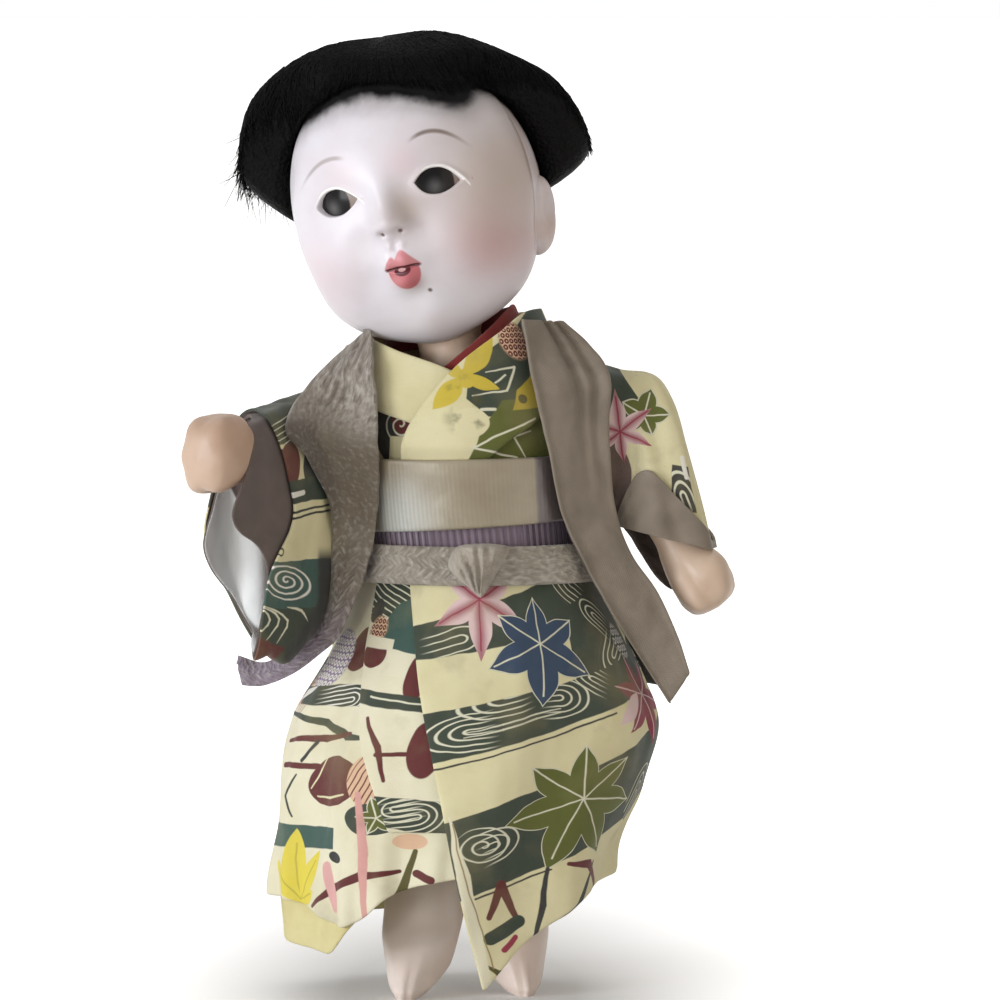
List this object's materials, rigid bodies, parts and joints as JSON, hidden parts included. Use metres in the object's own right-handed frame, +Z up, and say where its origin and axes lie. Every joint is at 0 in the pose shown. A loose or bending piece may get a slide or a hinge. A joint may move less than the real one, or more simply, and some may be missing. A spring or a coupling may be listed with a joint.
{
  "type": "ichimatsu doll",
  "caption": "Standing dressed Japanese play doll with a white lacquered head, glass eyes, cloth-jointed limbs, printed kimono, sash, crepe belt and an open jacket.",
  "frame": {"origin": "on the floor, under the middle of the doll's box", "axes": "+Z up, the doll faces -Y, +X is the doll's left"},
  "size_m": [0.1174, 0.0782, 0.2087],
  "materials": {
    "gofun": "burnished shell-white lacquer over composition",
    "composition": "flesh-tinted lacquer over composition",
    "glass_eye": "polished dark brown glass",
    "hair": "black silk or human hair, glued",
    "turned_wood": "bare turned wood",
    "muslin": "stuffed plain-weave cotton",
    "printed_silk": "cream silk crepe printed with leaves and streams",
    "red_silk": "plain silk",
    "silver_silk": "ribbed silk with a metallic sheen",
    "plum_silk": "pleated silk",
    "grey_crepe": "coarse silk crepe",
    "grey_silk": "plain lining silk"
  },
  "bodies": {
    "torso": {"shoulder_plate": "composition", "hip_block": "composition", "cloth_waist": "muslin", "kimono_back": "printed_silk", "kimono_right_front": "printed_silk", "kimono_left_front": "printed_silk", "kimono_right_collar": "printed_silk", "kimono_left_collar": "printed_silk", "skirt_back": "printed_silk", "skirt_right_front": "printed_silk", "skirt_pleat": "printed_silk", "skirt_left_front": "printed_silk", "jacket_body": "printed_silk", "under_collar": "red_silk", "sash": "silver_silk", "pleated_band": "plum_silk", "crepe_belt": "grey_crepe", "belt_knot": "grey_crepe", "jacket_right_lapel": "grey_crepe", "jacket_left_lapel": "grey_silk"},
    "head": {"face_mask": "gofun", "head_back": "gofun", "right_eye": "glass_eye", "left_eye": "glass_eye", "wig": "hair", "neck_plug": "turned_wood"},
    "right_arm": {"right_upper_arm": "muslin", "right_forearm": "composition", "right_sleeve": "printed_silk", "right_sleeve_lining": "grey_silk"},
    "left_arm": {"left_upper_arm": "muslin", "left_forearm": "composition", "left_sleeve": "printed_silk", "left_sleeve_lining": "grey_silk", "left_cuff_fold": "grey_silk"},
    "right_leg": {"right_thigh": "muslin", "right_lower_leg": "composition"},
    "left_leg": {"left_thigh": "muslin", "left_lower_leg": "composition"}
  },
  "joints": [
    {"name": "neck_turn", "type": "hinge", "parent": "torso", "child": "head", "pos_m": [-0.00103, 0.00227, 0.136], "axis": [-0.2198, 0, 0.9755], "range_deg": [-20, 45]},
    {"name": "right_shoulder", "type": "hinge", "parent": "torso", "child": "right_arm", "pos_m": [-0.02503, 0.00227, 0.127], "axis": [0, 0, 1], "range_deg": [-45, 3]},
    {"name": "left_shoulder", "type": "hinge", "parent": "torso", "child": "left_arm", "pos_m": [0.02697, 0.00227, 0.127], "axis": [-1, 0, 0], "range_deg": [-25, 70]},
    {"name": "right_hip", "type": "hinge", "parent": "torso", "child": "right_leg", "pos_m": [-0.00803, -0.00073, 0.068], "axis": [-1, 0, 0], "range_deg": [-12, 10]},
    {"name": "left_hip", "type": "hinge", "parent": "torso", "child": "left_leg", "pos_m": [0.00997, 0.00527, 0.068], "axis": [-1, 0, 0], "range_deg": [-12, 12]}
  ]
}
